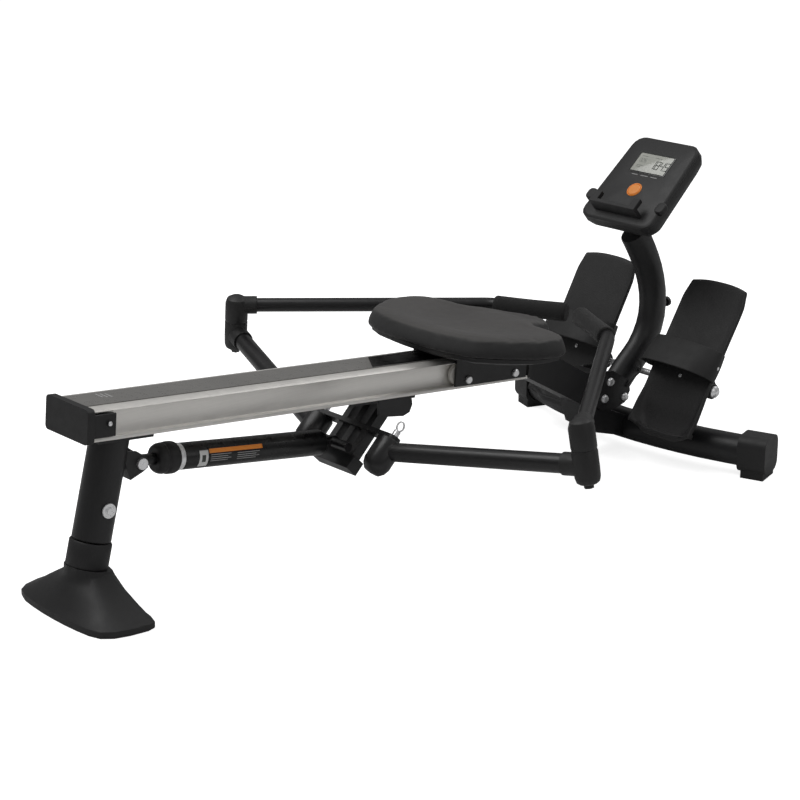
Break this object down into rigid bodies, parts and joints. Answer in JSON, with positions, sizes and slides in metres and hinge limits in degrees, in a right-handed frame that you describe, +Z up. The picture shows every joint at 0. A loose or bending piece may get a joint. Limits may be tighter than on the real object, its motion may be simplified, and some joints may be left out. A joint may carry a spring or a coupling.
{
  "type": "rowing machine",
  "caption": "Home rowing machine: a rolling saddle on an inclined aluminium rail, two jointed oar arms on a central damper, tilting foot plates and a readout on a curved mast.",
  "frame": {"origin": "on the floor under the rear foot, in the machine's middle plane", "axes": "+X to the rower's right, +Y from the rear foot towards the foot plates along the machine's length, +Z up"},
  "size_m": [0.925, 1.3434, 0.5487],
  "materials": {
    "black": "satin powder coat",
    "satin": "satin",
    "plastic": "fine textured",
    "rubber": "matte",
    "silver": "brushed anodised",
    "chrome": "polished",
    "decal": "satin strip",
    "seat": "matte vinyl-faced pad",
    "roller": "smooth",
    "lcd": "clear",
    "orange": "satin",
    "foam": "closed-cell foam"
  },
  "bodies": {
    "frame": {"rear_foot": "plastic", "leg_sleeve": "plastic", "rear_leg": "black", "leg_bolt": "chrome", "damper_lug": "black", "damper_pin": "chrome", "rail": "silver", "rail_strip": "decal", "rail_end_cap": "plastic", "end_stop_R": "plastic", "end_stop_L": "plastic", "oar_bracket": "black", "front_beam": "black", "front_bracket_R": "black", "front_bracket_L": "black", "front_bolt_upper": "chrome", "front_bolt_lower": "chrome", "mast_bolt": "chrome", "stabiliser_tube": "black", "stabiliser_cap_R": "rubber", "stabiliser_cap_L": "rubber", "mast": "black", "mast_knob": "plastic", "console_back": "plastic", "console_face": "satin", "console_display": "lcd", "phone_tray": "plastic", "sensor_cable": "rubber", "pedal_axle": "chrome"},
    "button": {"console_button": "orange"},
    "damper": {"damper_body": "satin"},
    "adjuster": {"damper_adjuster": "plastic"},
    "damper_rod": {"damper_rod": "chrome"},
    "arm_R": {"oar_arm_R": "satin", "elbow_base_R": "plastic"},
    "arm_L": {"oar_arm_L": "satin", "elbow_base_L": "plastic"},
    "forearm_R": {"elbow_head_R": "plastic", "oar_forearm_R": "satin", "oar_grip_R": "foam"},
    "forearm_L": {"elbow_head_L": "plastic", "oar_forearm_L": "satin", "oar_grip_L": "foam"},
    "plunger_R": {"pivot_plunger_R": "chrome"},
    "plunger_L": {"pivot_plunger_L": "chrome"},
    "foot_R": {"foot_plate_R": "plastic", "foot_strap_R": "rubber"},
    "foot_L": {"foot_plate_L": "plastic", "foot_strap_L": "rubber"},
    "saddle": {"seat_carriage": "black", "seat_pan": "plastic", "seat_pad": "seat", "roller_bolt_rear_R": "chrome", "roller_bolt_front_R": "chrome", "roller_bolt_rear_L": "chrome", "roller_bolt_front_L": "chrome"},
    "roller_rear_R": {"roller_rear_R": "roller"},
    "roller_front_R": {"roller_front_R": "roller"},
    "roller_rear_L": {"roller_rear_L": "roller"},
    "roller_front_L": {"roller_front_L": "roller"}
  },
  "joints": [
    {"name": "seat_slide", "type": "slide", "parent": "frame", "child": "saddle", "axis": [0, -0.9957, 0.0922], "range_m": [0, 0.63]},
    {"name": "oar_R", "type": "hinge", "parent": "frame", "child": "arm_R", "pos_m": [0.088, 0.526, 0.158], "axis": [0, -0.7071, -0.7071], "range_deg": [0, 40]},
    {"name": "oar_L", "type": "hinge", "parent": "frame", "child": "arm_L", "pos_m": [-0.088, 0.526, 0.158], "axis": [0, 0.7071, 0.7071], "range_deg": [0, 40]},
    {"name": "elbow_R", "type": "hinge", "parent": "arm_R", "child": "forearm_R", "pos_m": [0.444, 0.622, 0.177], "axis": [0.1567, 0.0553, -0.9861], "range_deg": [0, 60]},
    {"name": "elbow_L", "type": "hinge", "parent": "arm_L", "child": "forearm_L", "pos_m": [-0.444, 0.627, 0.1935], "axis": [0.1567, -0.0553, 0.9861], "range_deg": [0, 60]},
    {"name": "damper_pivot", "type": "hinge", "parent": "frame", "child": "damper", "pos_m": [0, 0.106, 0.213], "axis": [1, 0, 0], "range_deg": [0, 1]},
    {"name": "damper_stroke", "type": "slide", "parent": "damper", "child": "damper_rod", "axis": [0, 0.9901, -0.1407], "range_m": [0, 0.0125]},
    {"name": "adjuster_twist", "type": "hinge", "parent": "damper", "child": "adjuster", "pos_m": [0, 0.106, 0.213], "axis": [0, 0.9901, -0.1407], "range_deg": [0, 300]},
    {"name": "plunger_pull_R", "type": "slide", "parent": "frame", "child": "plunger_R", "axis": [0, 0.7071, 0.7071], "range_m": [0, 0.008], "stiffness_N_per_m": 400},
    {"name": "plunger_pull_L", "type": "slide", "parent": "frame", "child": "plunger_L", "axis": [0, 0.7071, 0.7071], "range_m": [0, 0.008], "stiffness_N_per_m": 400},
    {"name": "foot_tilt_R", "type": "hinge", "parent": "frame", "child": "foot_R", "pos_m": [0.1275, 1.2, 0.14], "axis": [1, 0, 0], "range_deg": [-25, 2]},
    {"name": "foot_tilt_L", "type": "hinge", "parent": "frame", "child": "foot_L", "pos_m": [-0.1275, 1.2, 0.14], "axis": [1, 0, 0], "range_deg": [-27, 0]},
    {"name": "button_press", "type": "slide", "parent": "frame", "child": "button", "axis": [0, 0.6561, -0.7547], "range_m": [0, 0.0015], "stiffness_N_per_m": 600},
    {"name": "roll_rear_R", "type": "hinge", "parent": "saddle", "child": "roller_rear_R", "pos_m": [0.044, 0.72042, 0.2353], "axis": [1, 0, 0], "range_deg": [0, 2010]},
    {"name": "roll_front_R", "type": "hinge", "parent": "saddle", "child": "roller_front_R", "pos_m": [0.044, 0.85833, 0.22253], "axis": [1, 0, 0], "range_deg": [0, 2010]},
    {"name": "roll_rear_L", "type": "hinge", "parent": "saddle", "child": "roller_rear_L", "pos_m": [-0.044, 0.72042, 0.2353], "axis": [1, 0, 0], "range_deg": [0, 2010]},
    {"name": "roll_front_L", "type": "hinge", "parent": "saddle", "child": "roller_front_L", "pos_m": [-0.044, 0.85833, 0.22253], "axis": [1, 0, 0], "range_deg": [0, 2010]}
  ],
  "couplings": [
    {"joint": "oar_L", "follows": "oar_R", "ratio": 1},
    {"joint": "damper_pivot", "follows": "oar_R", "ratio": 0.02},
    {"joint": "damper_stroke", "follows": "oar_R", "m_per_rad": 0.0172},
    {"joint": "roll_rear_R", "follows": "seat_slide", "rad_per_m": 55.556},
    {"joint": "roll_front_R", "follows": "seat_slide", "rad_per_m": 55.556},
    {"joint": "roll_rear_L", "follows": "seat_slide", "rad_per_m": 55.556},
    {"joint": "roll_front_L", "follows": "seat_slide", "rad_per_m": 55.556}
  ]
}
